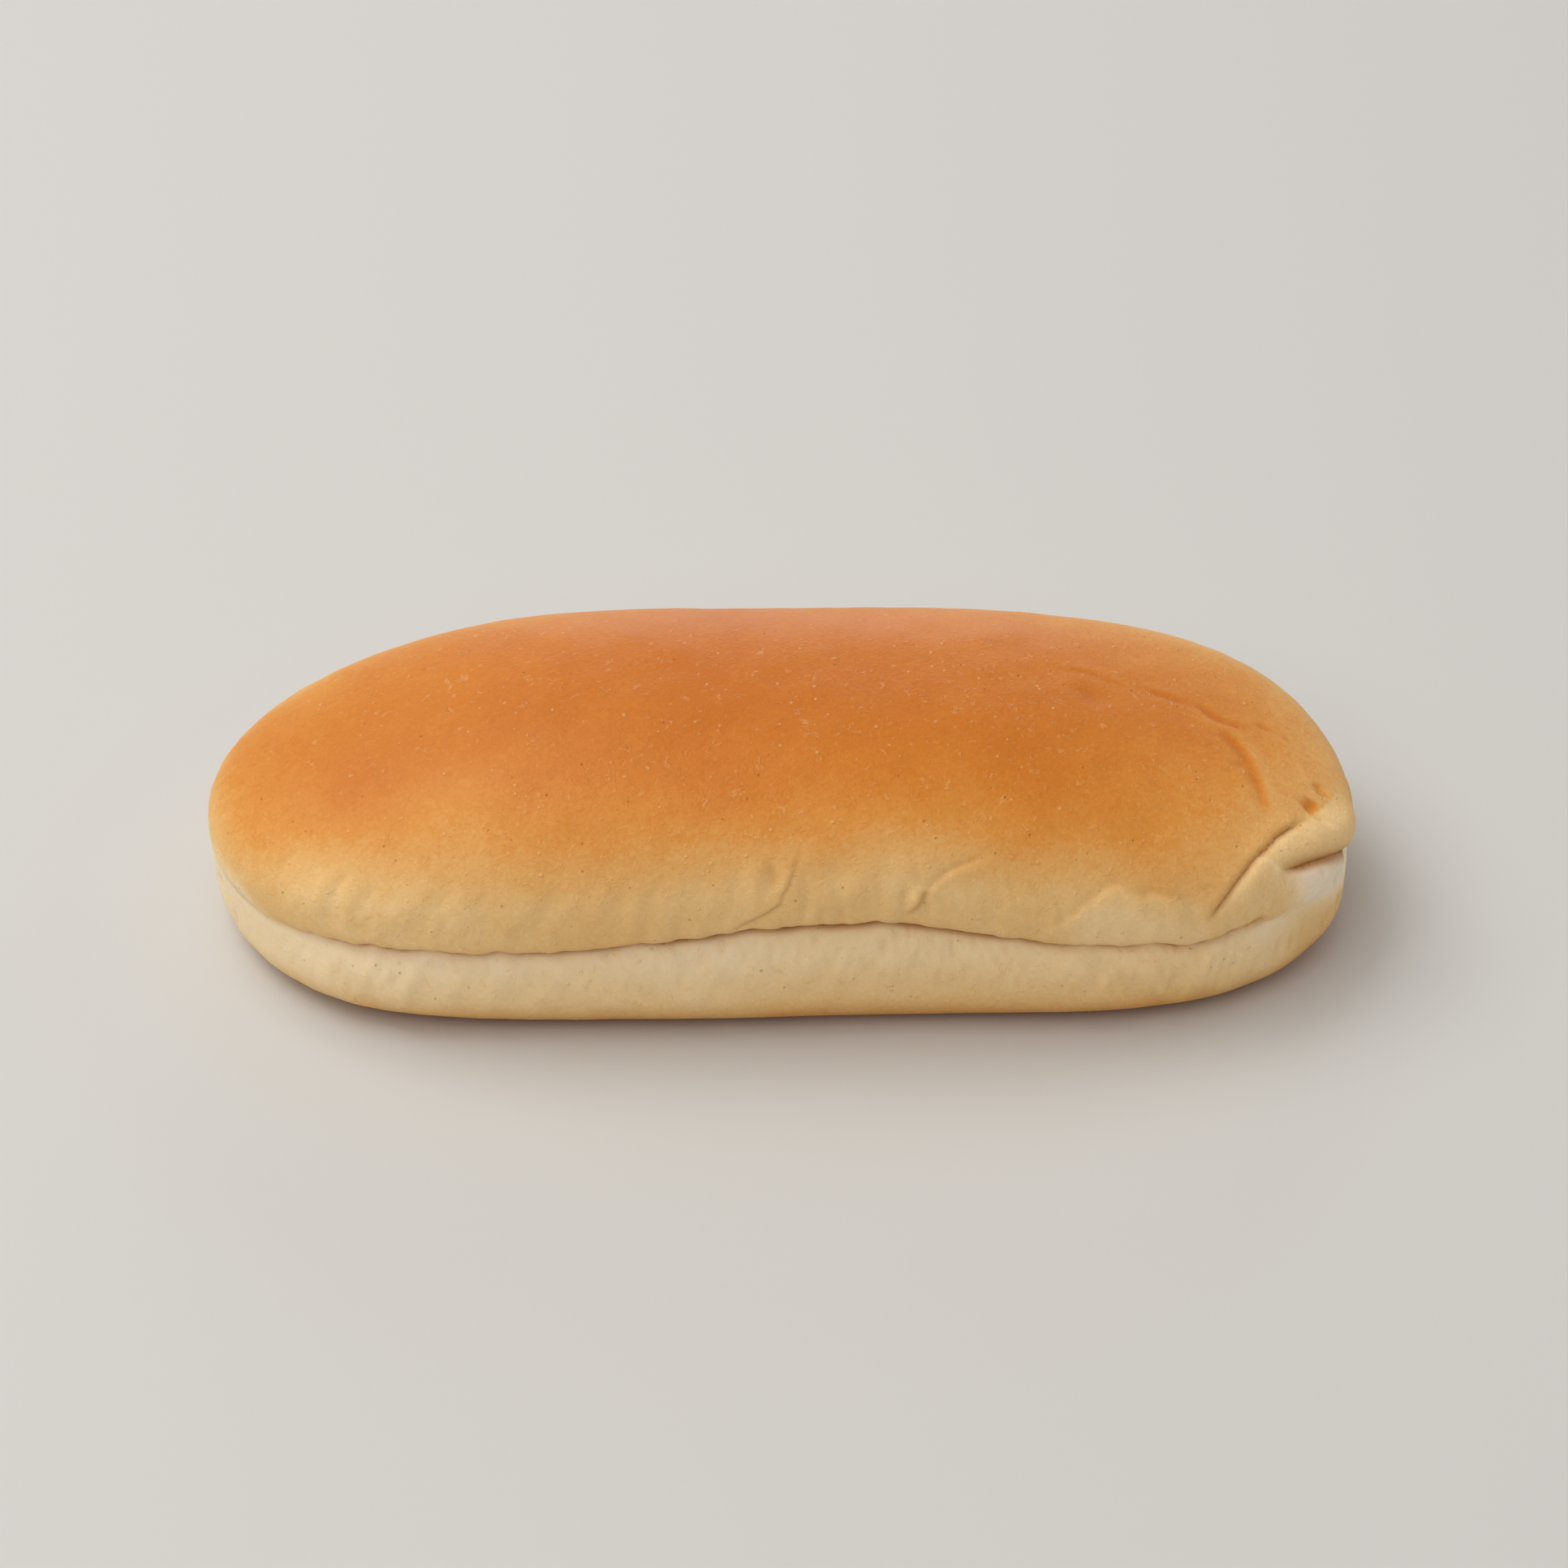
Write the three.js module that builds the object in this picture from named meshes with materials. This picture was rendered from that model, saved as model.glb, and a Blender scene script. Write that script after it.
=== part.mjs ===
// A soft white finger roll as one closed skin: flat sole, rounded lip, side fold and domed crust.
// Millimetres, +Z up, resting on its sole with the middle of its plan at the origin.
import * as THREE from "three";

// Overall size
const LENGTH = 156.5;
const WIDTH = 62.8;
const HEIGHT = 38.8;

// Plan and dome: larger exponents are blunter, and the right tip leans towards the front
const LEFT_BLUNT = 4.5;
const RIGHT_BLUNT = 5.8;
const RIGHT_SKEW = -4;
const SKEW_POWER = 24; // larger keeps the lean nearer the tip
const DOME_LEFT_BLUNT = 2.55;
const DOME_RIGHT_BLUNT = 2.8;
const CROWN_ROUND = 2.3;
const CROWN_DROOP = 0.25; // share of the height lost at the far ends
const CROWN_PEAK_X = -6;
const CROWN_LIMIT = 0.975; // share of the climb at which the crown closes
const CROWN_BIAS = 1.2; // above one sets the rows closer low on the dome

// Lip below the side fold
const SOLE_INSET = 8;
const LIP_INSET = 0.4;
const LIP_HEIGHT = 7;

// Side fold, where the dome overhangs the lip
const FOLD_HEIGHT = 14;
const FOLD_DEPTH = 3.8;
const FOLD_FULL = 2.7; // above two fills out the lip's shoulder and the dome's edge
const BELLY_RISE = 2.6;

// Slow rises of the side fold: run round the roll, reach before and after it, height
const FOLD_RISES = [
  { run: 12, before: 33, after: 19, height: 4.8 },
  { run: -75, before: 22, after: 22, height: -1 },
  { run: 55, before: 5, after: 4, height: -0.9 },
  { run: 90, before: 14, after: 24, height: 1.6 },
  { run: 150, before: 30, after: 30, height: 1.8 },
  { run: -150, before: 30, after: 30, height: 0.8 },
];

// Scallops where the dome's edge catches on the lip
const SCALLOPS = [
  { run: -56, reach: 2.4, height: 0.7 },
  { run: -48, reach: 2.8, height: 0.9 },
  { run: -20, reach: 2.6, height: 0.6 },
  { run: -5, reach: 3.5, height: 0.6 },
  { run: 13, reach: 2.5, height: 0.5 },
  { run: 49.5, reach: 2, height: 0.9 },
  { run: 128, reach: 3, height: 0.7 },
  { run: 171, reach: 3.4, height: 0.8 },
  { run: -160, reach: 3, height: 0.7 },
  { run: -128, reach: 2.6, height: 0.6 },
];

// Spans where the side fold goes shallow: between the two starts and the two ends
const SHALLOWS = [
  { from: -125, full: -105, ease: -80, to: -55, share: 0.93 },
  { from: 60, full: 69, ease: 78, to: 90, share: 0.97 },
  { from: 70, full: 88, ease: 108, to: 128, share: 0.45 },
];

// Folds in the skin: run round the roll against skin length up from the side fold, raise on either
// side of the line, and cut
const CUT_WIDTH = 1.2;
const FOLDS = [
  { // dome pulled over the tongue at the right end
    path: [[56.3, 7.1], [59, 9.2], [62, 10.8], [66, 10.8], [70.1, 11.3], [74.6, 11.8], [82, 10.4]],
    above: 0.4, below: 0.3, reach: 2.4, cut: 1.1, fadeIn: 0.12, fadeOut: 0.25,
  },
  { // back of the tongue, a ridge
    path: [[58.5, 6], [62.5, 8.2], [67, 9], [71.5, 9.6], [76, 9.2], [79.5, 7.9], [84, 6], [91, 3.8]],
    above: 0.6, below: 0.6, reach: 2.1, cut: 0, fadeIn: 0.25, fadeOut: 0.2,
  },
  { // crease under the tongue, running round the right end
    path: [[69.5, 8.9], [70.2, 7.5], [72.4, 6.8], [75.4, 5.9], [80.2, 3.7], [86.4, 1], [93.4, -0.8], [101, -2.2]],
    above: 0.3, below: 0.6, reach: 3.2, cut: 1.5, fadeIn: 0.16, fadeOut: 0.2,
  },
  { // hook that ends the side fold
    path: [[57.5, 2.2], [60.4, 3.2], [63.8, 3.3], [65.3, 2], [66, 0.4]],
    above: 0.15, below: 0.3, reach: 2, cut: 0.7, fadeIn: 0.3, fadeOut: 0.35,
  },
  { // flap on the right of the front
    path: [[31.5, 4.4], [39.7, 9.8], [42.9, 12.2], [46.6, 13.6], [49.2, 11.1], [56.9, 11.6]],
    above: -0.05, below: 0.4, reach: 2.6, cut: 0.5, fadeIn: 0.35, fadeOut: 0.3,
  },
  { // pucker in the middle of the front
    path: [[17, 6.6], [19, 10.1], [25.1, 14.8], [32, 18]],
    above: -0.05, below: 0.4, reach: 2, cut: 0.5, fadeIn: 0.12, fadeOut: 0.6,
  },
  { // wedge left of the pucker
    path: [[-8.5, 4.2], [-4.5, 5.9], [-1, 8.1], [0.4, 11.2], [2.9, 17.5]],
    above: -0.05, below: 0.4, reach: 2, cut: 0.5, fadeIn: 0.2, fadeOut: 0.5,
  },
  { // valley where the lip runs up round the left end
    path: [[-96.1, 2], [-88.1, 2.4], [-82.1, 3.3], [-77.1, 3.2], [-73.1, 1.4], [-69.1, 0]],
    above: 0.25, below: 0, reach: 3, cut: 0.3, fadeIn: 0.4, fadeOut: 0.25,
  },
  { // back: flap towards the right end
    path: [[118, 4.5], [124, 8.5], [131, 10], [142, 8]],
    above: -0.1, below: 0.7, reach: 3, cut: 0.6, fadeIn: 0.3, fadeOut: 0.3,
  },
  { // back: pucker near the middle
    path: [[-189, 4], [-182, 9], [-168, 13.5]],
    above: 0, below: 0.7, reach: 3, cut: 0.6, fadeIn: 0.2, fadeOut: 0.4,
  },
];

// Wrinkles of the crown over the folded end, as paths in plan
const WRINKLES = [
  {
    path: [[49.4, 3.5], [51.4, 3.7], [53.5, 3.2], [56.3, 3], [58.1, 2.4], [59.5, 0.9], [61.5, 0.5], [63.9, 0.4]],
    above: 0.15, below: 0.15, reach: 2.2, cut: 0.45, fadeIn: 0.2, fadeOut: 0.2,
  },
  {
    path: [[60.2, -1.4], [62.5, -5], [63.2, -7.2], [64.5, -11.4], [65.1, -15.3], [65.5, -18.8]],
    above: 0.2, below: 0.18, reach: 2.2, cut: 0.5, fadeIn: 0.15, fadeOut: 0.5,
  },
];
const WRINKLES_ABOVE = 19; // height over which the crown's wrinkles are read

// Bulges and hollows: run, skin length, reach along and up, height
const BULGES = [
  { run: 82.6, length: 10.8, along: 1.3, up: 1.2, height: -0.7 },
  { run: 75, length: 1.5, along: 3.4, up: 3, height: 0.5 },
  { run: 79, length: -5, along: 7, up: 4, height: 0.6 },
  { run: 94, length: -0.3, along: 5, up: 2, height: -0.6 },
  { run: -57, length: -8, along: 12, up: 6, height: 0.8 },
  { run: -100, length: -3, along: 8, up: 7, height: 1 },
];
const PATH_STEPS = 36;

// Slow swells of the whole skin: height, wave lengths along x, y and z, and phases
const SWELLS = [
  { height: 0.25, x: 82, y: 69, z: 57, along: 1, across: 0 },
  { height: 0.2, x: 48, y: 400, z: 44, along: 2.2, across: 1 },
];
const SOLE_EASE = 4; // height over which relief fades out towards the sole

// Mesh density
const LEFT_STEP = 3.8;
const MIDDLE_STEP = 2.2;
const MIDDLE_FROM = -14;
const RIGHT_STEP = 1.25;
const RIGHT_FROM = 52;
const BACK_STEP = 5.5;
const LIP_ROWS = 6;
const SHOULDER_ROWS = 8;
const UNDER_ROWS = 5;
const FOLD_ROW = LIP_ROWS + SHOULDER_ROWS;
const CROWN_ROWS = 26;
const OUTLINE_STEPS = 8000;

const CRUST_COLOUR = 0xd08a45;
const CRUST_ROUGHNESS = 0.55;

const QUARTER = Math.PI / 2;

function smooth(low, high, value) {
  const t = Math.min(1, Math.max(0, (value - low) / (high - low)));
  return t * t * (3 - 2 * t);
}

function bell(distance, reach) {
  return Math.exp(-((distance / reach) ** 2));
}

// Signed power, which fills out a rounded corner
function full(share) {
  return Math.sign(share) * Math.abs(share) ** (2 / FOLD_FULL);
}

// Plan of the roll at the belly, for a turn from the middle of the front, with its outward normal
function planPoint(turn) {
  const s = Math.sin(turn);
  const blunt = s > 0 ? RIGHT_BLUNT : LEFT_BLUNT;
  const domeBlunt = s > 0 ? DOME_RIGHT_BLUNT : DOME_LEFT_BLUNT;
  const skew = s > 0 ? RIGHT_SKEW : 0;
  const x = (LENGTH / 2) * s;
  const y = (-WIDTH / 2) * Math.sign(Math.cos(turn)) * Math.sqrt(Math.max(0, 1 - Math.abs(s) ** blunt));
  const slopeY = (2 * y) / (WIDTH / 2) ** 2;
  const lean = skew * SKEW_POWER * Math.abs(s) ** (SKEW_POWER - 1);
  const slopeX = (Math.sign(s) * (blunt * Math.abs(s) ** (blunt - 1) - slopeY * lean)) / (LENGTH / 2);
  const size = Math.hypot(slopeX, slopeY);
  const leaning = y + skew * Math.abs(s) ** SKEW_POWER;
  return { x, y: leaning, domeBlunt, nx: slopeX / size, ny: slopeY / size };
}

// Run round the plan from the middle of the front, tabled against turn
function tableRun() {
  const turns = [];
  const runs = [];
  let run = 0;
  let last = null;
  let front = 0;
  for (let i = 0; i <= OUTLINE_STEPS; i += 1) {
    const turn = 4 * QUARTER * (i / OUTLINE_STEPS - 0.5);
    const point = planPoint(turn);
    run += last ? Math.hypot(point.x - last.x, point.y - last.y) : 0;
    if (i === OUTLINE_STEPS / 2) front = run;
    turns.push(turn);
    runs.push(run);
    last = point;
  }
  return { turns, runs: runs.map((value) => value - front) };
}

function turnAt(table, run) {
  let low = 0;
  let high = table.runs.length - 1;
  while (high - low > 1) {
    const middle = (low + high) >> 1;
    if (table.runs[middle] <= run) low = middle;
    else high = middle;
  }
  const share = (run - table.runs[low]) / (table.runs[high] - table.runs[low]);
  return table.turns[low] + share * (table.turns[high] - table.turns[low]);
}

// Column positions: left, middle and folded right of the front, then round the back
function columnRuns(table) {
  const leftEnd = table.runs[OUTLINE_STEPS / 4];
  const rightEnd = table.runs[(3 * OUTLINE_STEPS) / 4];
  const turn = table.runs[OUTLINE_STEPS] - table.runs[0];
  const stretches = [
    [leftEnd, MIDDLE_FROM, LEFT_STEP],
    [MIDDLE_FROM, RIGHT_FROM, MIDDLE_STEP],
    [RIGHT_FROM, rightEnd, RIGHT_STEP],
    [rightEnd, leftEnd + turn, BACK_STEP],
  ];
  const runs = [];
  let frontCount = 0;
  for (const [from, to, step] of stretches) {
    const count = Math.round((to - from) / step);
    for (let i = 0; i < count; i += 1) {
      const run = from + ((to - from) * i) / count;
      runs.push(run > table.runs[OUTLINE_STEPS] ? run - turn : run);
    }
    if (to === rightEnd) frontCount = runs.length;
  }
  return { runs, frontCount };
}

function foldLevel(run) {
  let level = FOLD_HEIGHT;
  for (const rise of FOLD_RISES) {
    const off = run - rise.run;
    level += rise.height * bell(off, off < 0 ? rise.before : rise.after);
  }
  return level;
}

function scallop(run) {
  let height = 0;
  for (const dip of SCALLOPS) height += dip.height * bell(run - dip.run, dip.reach);
  return height;
}

function foldDepth(run) {
  let depth = FOLD_DEPTH;
  for (const span of SHALLOWS) {
    const closed = smooth(span.from, span.full, run) * (1 - smooth(span.ease, span.to, run));
    depth *= 1 - span.share * closed;
  }
  return depth;
}

// One column of the skin from the sole's edge to the crown, each point with its hold on relief
function skinColumn(table, run) {
  const plan = planPoint(turnAt(table, run));
  const depth = foldDepth(run);
  const level = foldLevel(run);
  const fold = level + scallop(run) * (depth / FOLD_DEPTH);
  const belly = level + BELLY_RISE;
  const points = [];
  const wall = (inset, z, hold) => {
    points.push({ x: plan.x - plan.nx * inset, y: plan.y - plan.ny * inset, z, run, hold });
  };
  const tuck = (angle) => 1 - (1 - full(Math.cos(angle))) * (depth / FOLD_DEPTH);
  for (let i = 0; i < LIP_ROWS; i += 1) {
    const angle = QUARTER * (i / LIP_ROWS - 1);
    wall(LIP_INSET + SOLE_INSET * (1 - Math.cos(angle)), LIP_HEIGHT * (1 + Math.sin(angle)), 1);
  }
  for (let i = 0; i <= SHOULDER_ROWS; i += 1) {
    const angle = (QUARTER * i) / SHOULDER_ROWS;
    const z = LIP_HEIGHT + (fold - LIP_HEIGHT) * full(Math.sin(angle));
    wall(LIP_INSET + depth * (1 - full(Math.cos(angle))), z, tuck(angle));
  }
  for (let i = 1; i <= UNDER_ROWS; i += 1) {
    const angle = QUARTER * (i / UNDER_ROWS - 1);
    const z = belly + (belly - fold) * full(Math.sin(angle));
    wall((depth + LIP_INSET) * (1 - full(Math.cos(angle))), z, tuck(angle));
  }
  for (let i = 1; i <= CROWN_ROWS; i += 1) {
    const angle = QUARTER * ((CROWN_LIMIT * i) / CROWN_ROWS) ** CROWN_BIAS;
    const share = Math.cos(angle);
    const x = plan.x * share ** (2 / plan.domeBlunt);
    const top = HEIGHT * (1 - CROWN_DROOP * ((x - CROWN_PEAK_X) / (LENGTH / 2)) ** 2);
    const climb = (1 - share ** CROWN_ROUND) ** (1 / CROWN_ROUND);
    points.push({ x, y: plan.y * share, z: belly + (top - belly) * climb, run, hold: 1 });
  }
  return withLengths(points);
}

// Skin length of each point of a column, counted from the side fold
function withLengths(points) {
  const lengths = [0];
  for (let j = 1; j < points.length; j += 1) {
    const step = new THREE.Vector3().subVectors(points[j], points[j - 1]);
    lengths.push(lengths[j - 1] + step.length());
  }
  return points.map((point, j) => ({ ...point, length: lengths[j] - lengths[FOLD_ROW] }));
}

// Smooth line of a fold as short straight steps with their running length
function foldLine(fold) {
  const curve = new THREE.SplineCurve(fold.path.map(([a, b]) => new THREE.Vector2(a, b)));
  const points = curve.getPoints(PATH_STEPS);
  const lengths = [0];
  for (let i = 1; i < points.length; i += 1) {
    lengths.push(lengths[i - 1] + points[i].distanceTo(points[i - 1]));
  }
  return { ...fold, points, lengths };
}

// Relief of one fold at a place given in the fold's own two measures
function foldLift(line, first, second) {
  let best = Infinity;
  let side = 0;
  let along = 0;
  for (let i = 0; i + 1 < line.points.length; i += 1) {
    const a = line.points[i];
    const stepA = line.points[i + 1].x - a.x;
    const stepB = line.points[i + 1].y - a.y;
    const size = Math.hypot(stepA, stepB);
    const at = ((first - a.x) * stepA + (second - a.y) * stepB) / size;
    const reach = Math.min(size, Math.max(0, at));
    const offA = first - a.x - (stepA * reach) / size;
    const offB = second - a.y - (stepB * reach) / size;
    const off = Math.hypot(offA, offB);
    if (off < best) {
      best = off;
      side = Math.sign(stepA * offB - stepB * offA) * off;
      along = (line.lengths[i] + reach) / line.lengths[line.lengths.length - 1];
    }
  }
  const fade = smooth(0, line.fadeIn, along) * smooth(0, line.fadeOut, 1 - along);
  const upper = smooth(-CUT_WIDTH, CUT_WIDTH, side);
  const raise = bell(best, line.reach) * (line.above * upper + line.below * (1 - upper));
  return fade * (raise - line.cut * bell(best, CUT_WIDTH));
}

function bulge(point) {
  let lift = 0;
  for (const spot of BULGES) {
    lift += spot.height * bell(point.run - spot.run, spot.along) * bell(point.length - spot.length, spot.up);
  }
  return lift;
}

function swell(point) {
  let lift = 0;
  for (const wave of SWELLS) {
    const along = (4 * QUARTER * point.x) / wave.x + wave.along;
    const across = 4 * QUARTER * (point.y / wave.y + point.z / wave.z) + wave.across;
    lift += wave.height * Math.sin(along) * Math.sin(across);
  }
  return lift;
}

// Skin raised or cut along its normals by the folds, wrinkles, bulges and swells
function raisedSkin(columns) {
  const folds = FOLDS.map(foldLine);
  const wrinkles = WRINKLES.map(foldLine);
  const count = columns.length;
  return columns.map((column, i) => {
    const before = columns[(i + count - 1) % count];
    const after = columns[(i + 1) % count];
    return column.map((point, j) => {
      const lower = column[Math.max(0, j - 1)];
      const upper = column[Math.min(column.length - 1, j + 1)];
      const around = new THREE.Vector3().subVectors(after[j], before[j]);
      const normal = around.cross(new THREE.Vector3().subVectors(upper, lower)).normalize();
      let lift = swell(point) + bulge(point);
      for (const line of folds) lift += foldLift(line, point.run, point.length);
      if (point.z > WRINKLES_ABOVE) {
        for (const line of wrinkles) lift += foldLift(line, point.x, point.y);
      }
      lift *= point.hold * smooth(0, SOLE_EASE, point.z);
      return new THREE.Vector3(point.x, point.y, point.z).addScaledVector(normal, lift);
    });
  });
}

// Triangles across a ring, between its front half and its back half
function bridge(ring, frontCount, place, add) {
  const front = ring.slice(0, frontCount + 1);
  const back = [ring[0], ...ring.slice(frontCount).reverse()];
  let i = 0;
  let j = 0;
  while (i + 1 < front.length || j + 1 < back.length) {
    const nextFront = i + 1 < front.length ? place(front[i + 1]).x : Infinity;
    const nextBack = j + 1 < back.length ? place(back[j + 1]).x : Infinity;
    if (nextFront <= nextBack) {
      if (front[i] !== back[j] && front[i + 1] !== back[j]) add(front[i], front[i + 1], back[j]);
      i += 1;
    } else {
      if (back[j] !== front[i] && back[j + 1] !== front[i]) add(front[i], back[j + 1], back[j]);
      j += 1;
    }
  }
}

// Two triangles for a four-cornered patch, split across its shorter diagonal
function splitQuad([a, b, c, d], place, index) {
  if (place(a).distanceTo(place(c)) < place(b).distanceTo(place(d))) index.push(a, b, c, a, c, d);
  else index.push(a, b, d, b, c, d);
}

function rollGeometry() {
  const table = tableRun();
  const { runs, frontCount } = columnRuns(table);
  const columns = raisedSkin(runs.map((run) => skinColumn(table, run)));
  const count = columns.length;
  const rows = columns[0].length;
  const positions = [];
  for (const column of columns) for (const point of column) positions.push(...point.toArray());
  const index = [];
  const at = (i, j) => (i % count) * rows + j;
  const place = (k) => columns[Math.floor(k / rows)][k % rows];
  for (let i = 0; i < count; i += 1) {
    for (let j = 0; j + 1 < rows; j += 1) {
      splitQuad([at(i, j), at(i + 1, j), at(i + 1, j + 1), at(i, j + 1)], place, index);
    }
  }
  const sole = columns.map((_, i) => at(i, 0));
  const crown = columns.map((_, i) => at(i, rows - 1));
  bridge(sole, frontCount, place, (a, b, c) => index.push(a, c, b));
  bridge(crown, frontCount, place, (a, b, c) => index.push(a, b, c));
  const geometry = new THREE.BufferGeometry();
  geometry.setAttribute("position", new THREE.Float32BufferAttribute(positions, 3));
  geometry.setIndex(index);
  geometry.computeBoundingBox();
  const middle = geometry.boundingBox.getCenter(new THREE.Vector3());
  geometry.translate(-middle.x, -middle.y, -geometry.boundingBox.min.z);
  geometry.computeVertexNormals();
  return geometry;
}

function makeRoll() {
  const material = new THREE.MeshStandardMaterial({
    name: "crust",
    color: CRUST_COLOUR,
    roughness: CRUST_ROUGHNESS,
  });
  const roll = new THREE.Mesh(rollGeometry(), material);
  roll.name = "roll";
  return roll;
}

const part = new THREE.Group();
part.name = "bread_roll";
part.add(makeRoll());

export default part;
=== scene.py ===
# A soft long bread roll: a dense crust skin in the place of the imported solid, on a plain studio floor.
import math

import bpy
import numpy as np
from mathutils import Matrix, Vector


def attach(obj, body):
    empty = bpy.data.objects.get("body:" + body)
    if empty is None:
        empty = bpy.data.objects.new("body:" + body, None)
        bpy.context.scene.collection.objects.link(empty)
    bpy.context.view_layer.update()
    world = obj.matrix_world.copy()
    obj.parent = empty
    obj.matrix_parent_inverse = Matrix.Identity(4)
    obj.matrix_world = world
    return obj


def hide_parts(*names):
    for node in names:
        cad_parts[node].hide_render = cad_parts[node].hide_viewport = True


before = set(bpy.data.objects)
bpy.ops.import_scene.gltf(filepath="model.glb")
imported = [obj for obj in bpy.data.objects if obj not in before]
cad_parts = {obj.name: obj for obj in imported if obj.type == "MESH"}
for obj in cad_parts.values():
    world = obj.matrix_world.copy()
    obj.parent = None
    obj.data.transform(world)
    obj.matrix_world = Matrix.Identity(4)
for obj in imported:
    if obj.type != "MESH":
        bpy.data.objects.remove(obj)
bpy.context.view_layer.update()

# Overall size of the roll in millimetres, as in the solid
MM = 0.001
LENGTH = 156.5
WIDTH = 62.8
HEIGHT = 38.8

# Plan and dome: larger exponents are blunter, and the right tip leans towards the front
LEFT_BLUNT = 4.5
RIGHT_BLUNT = 5.8
RIGHT_SKEW = -4
SKEW_POWER = 24.0  # larger keeps the lean nearer the tip
DOME_LEFT_BLUNT = 2.55
DOME_RIGHT_BLUNT = 2.8
CROWN_ROUND = 2.3
CROWN_DROOP = 0.25  # share of the height lost at the far ends
CROWN_PEAK_X = -6.0
CROWN_LIMIT = 0.985  # share of the climb at which the crown closes
CROWN_BIAS = 1.15  # above one sets the rows closer low on the dome

# Lip, and the side fold where the dome overhangs it
SOLE_INSET = 8.0
LIP_INSET = 0.4
LIP_HEIGHT = 7.0
FOLD_HEIGHT = 14.0
FOLD_DEPTH = 3.8
FOLD_FULL = 2.7  # above two fills out the lip's shoulder and the dome's edge
BELLY_RISE = 2.6

# Slow rises of the side fold: run round the roll from the front's middle, reach before and after, height
FOLD_RISES = [
    (12, 33, 19, 4.8),
    (-75, 22, 22, -1.0),
    (55, 5, 4, -0.9),
    (90, 14, 24, 1.6),
    (150, 30, 30, 1.8),
    (-150, 30, 30, 0.8),
]

# Scallops where the dome's edge catches on the lip: run, reach, height
SCALLOPS = [
    (-65, 1.0, 0.5), (-56, 1.2, 0.7), (-48, 2.4, 0.9), (-38.5, 1.4, 0.8), (-20, 2.2, 0.6),
    (-5, 3.5, 0.6), (3, 2.0, 0.4), (13, 2.5, 0.5), (31, 1.4, 0.4), (40, 1.6, 0.5), (49.5, 1.6, 0.9),
    (128, 2.4, 0.7), (141, 1.4, 0.6), (171, 2.2, 0.8), (-160, 2.0, 0.7), (-143, 1.2, 0.5), (-128, 1.8, 0.6),
]

# Spans where the side fold goes shallow: start, full, ease, end, share lost
SHALLOWS = [
    (-125, -105, -80, -55, 0.93),
    (60, 69, 78, 90, 0.97),
    (70, 88, 108, 128, 0.45),
]

# Folds in the skin, as a path of run against skin length up from the side fold. Above and below are how
# far the skin swells on either side, over is how far the upper side slides across, and fade is the share
# of the path over which the fold comes in and goes out.
END_FOLD = [(56.3, 7.1), (59.0, 9.2), (62.0, 10.8), (66.0, 10.8), (70.1, 11.3), (74.6, 11.8), (82.0, 10.4)]
END_CREASE = [
    (69.5, 8.9), (70.2, 7.5), (72.4, 6.8), (75.4, 5.9), (80.2, 3.7), (86.4, 1.0), (93.4, -0.8), (101, -2.2),
]
FLAP = [
    (31.5, 4.4), (36.2, 7.6), (39.7, 9.8), (42.9, 12.2), (44.8, 13.3), (46.6, 13.6), (47.6, 12.2),
    (49.2, 11.1), (50.7, 12.0), (53.7, 11.4), (56.9, 11.6),
]
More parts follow.
